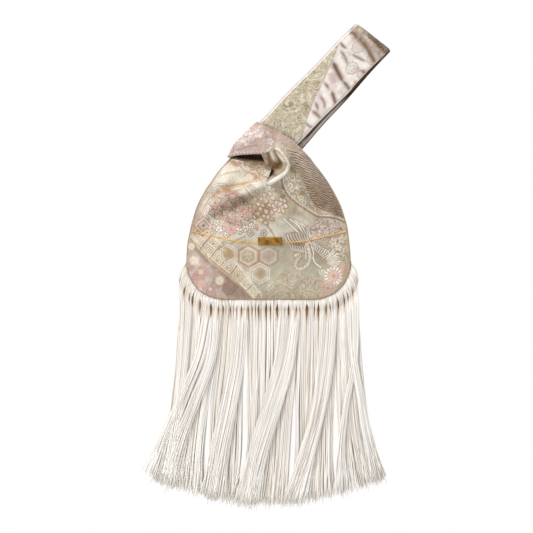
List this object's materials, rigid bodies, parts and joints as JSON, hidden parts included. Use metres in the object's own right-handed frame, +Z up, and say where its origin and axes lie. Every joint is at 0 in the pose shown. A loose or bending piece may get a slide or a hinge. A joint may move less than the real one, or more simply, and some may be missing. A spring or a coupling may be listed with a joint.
{
  "type": "japanese knot bag",
  "caption": "Flat teardrop wrist bag in patchwork brocade, its long handle drawn through a short one, with a blank brass bar and a deep cord fringe.",
  "frame": {"origin": "inside the far end of the long handle's loop, where a wrist or a hook carries the bag", "axes": "+Z up the hanging bag, -Y out of its front, +X to the side that the long handle leans to"},
  "size_m": [0.3281, 0.0472, 0.6715],
  "materials": {
    "brocade": "satin",
    "collar_brocade": "satin",
    "strap_brocade": "satin",
    "lining": "satin",
    "fleece": "matte",
    "piping": "satin",
    "gold_thread": "metallic",
    "brass": "polished",
    "fringe_yarn": "satin"
  },
  "bodies": {
    "handle": {"handle_front_strap": "strap_brocade", "handle_front_lining": "lining", "handle_back_strap": "strap_brocade", "handle_back_lining": "lining"},
    "strap_foot": {"strap_neck_front": "strap_brocade", "strap_neck_back": "strap_brocade", "strap_root_front": "strap_brocade", "strap_root_back": "strap_brocade"},
    "knot": {"short_handle_front": "collar_brocade", "short_handle_back": "collar_brocade", "short_handle_lining_front": "lining", "short_handle_lining_back": "lining", "knot_gather_front": "collar_brocade", "knot_gather_back": "collar_brocade", "mouth_lip_front": "brocade", "mouth_lip_back": "brocade"},
    "bag": {"front_panel": "brocade", "back_panel": "brocade", "front_fleece": "fleece", "back_fleece": "fleece", "front_lining": "lining", "back_lining": "lining", "gusset": "brocade", "front_piping": "piping", "back_piping": "piping", "base_stiffener": "fleece", "left_shoulder_front": "brocade", "left_shoulder_back": "brocade", "right_shoulder_front": "brocade", "right_shoulder_back": "brocade", "name_bar": "brass", "bar_washer": "brass", "gold_cord": "gold_thread", "fringe_header": "fringe_yarn", "fringe_skirt_left": "fringe_yarn", "fringe_skirt_right": "fringe_yarn"},
    "lock_1": {"fringe_lock_1": "fringe_yarn", "fringe_sweep_1": "fringe_yarn"},
    "lock_2": {"fringe_lock_2": "fringe_yarn", "fringe_sweep_2": "fringe_yarn"},
    "lock_3": {"fringe_lock_3": "fringe_yarn", "fringe_sweep_3": "fringe_yarn"},
    "lock_4": {"fringe_lock_4": "fringe_yarn", "fringe_sweep_4": "fringe_yarn"},
    "lock_5": {"fringe_lock_5": "fringe_yarn", "fringe_sweep_5": "fringe_yarn"}
  },
  "joints": [
    {"name": "handle_fold", "type": "hinge", "parent": "handle", "child": "strap_foot", "pos_m": [-0.1116, 0, -0.11396], "axis": [0.7145, 0, -0.6997], "range_deg": [-60, 60], "deforming": ["strap_neck_front", "strap_neck_back"]},
    {"name": "knot_slip", "type": "slide", "parent": "strap_foot", "child": "knot", "axis": [0.6997, 0, 0.7145], "range_m": [0, 0.012]},
    {"name": "bag_swing", "type": "hinge", "parent": "knot", "child": "bag", "pos_m": [-0.14413, 0, -0.14718], "axis": [0, 1, 0], "range_deg": [-20, 45], "deforming": ["left_shoulder_front", "left_shoulder_back", "right_shoulder_front", "right_shoulder_back"]},
    {"name": "lock_1_swing", "type": "hinge", "parent": "bag", "child": "lock_1", "pos_m": [-0.23913, 0, -0.38398], "axis": [1, 0, 0], "range_deg": [-45, 45]},
    {"name": "lock_2_swing", "type": "hinge", "parent": "bag", "child": "lock_2", "pos_m": [-0.19413, 0, -0.38398], "axis": [1, 0, 0], "range_deg": [-45, 45]},
    {"name": "lock_3_swing", "type": "hinge", "parent": "bag", "child": "lock_3", "pos_m": [-0.13913, 0, -0.38398], "axis": [1, 0, 0], "range_deg": [-45, 45]},
    {"name": "lock_4_swing", "type": "hinge", "parent": "bag", "child": "lock_4", "pos_m": [-0.07713, 0, -0.38398], "axis": [1, 0, 0], "range_deg": [-45, 45]},
    {"name": "lock_5_swing", "type": "hinge", "parent": "bag", "child": "lock_5", "pos_m": [-0.03413, 0, -0.38398], "axis": [1, 0, 0], "range_deg": [-45, 45]}
  ]
}
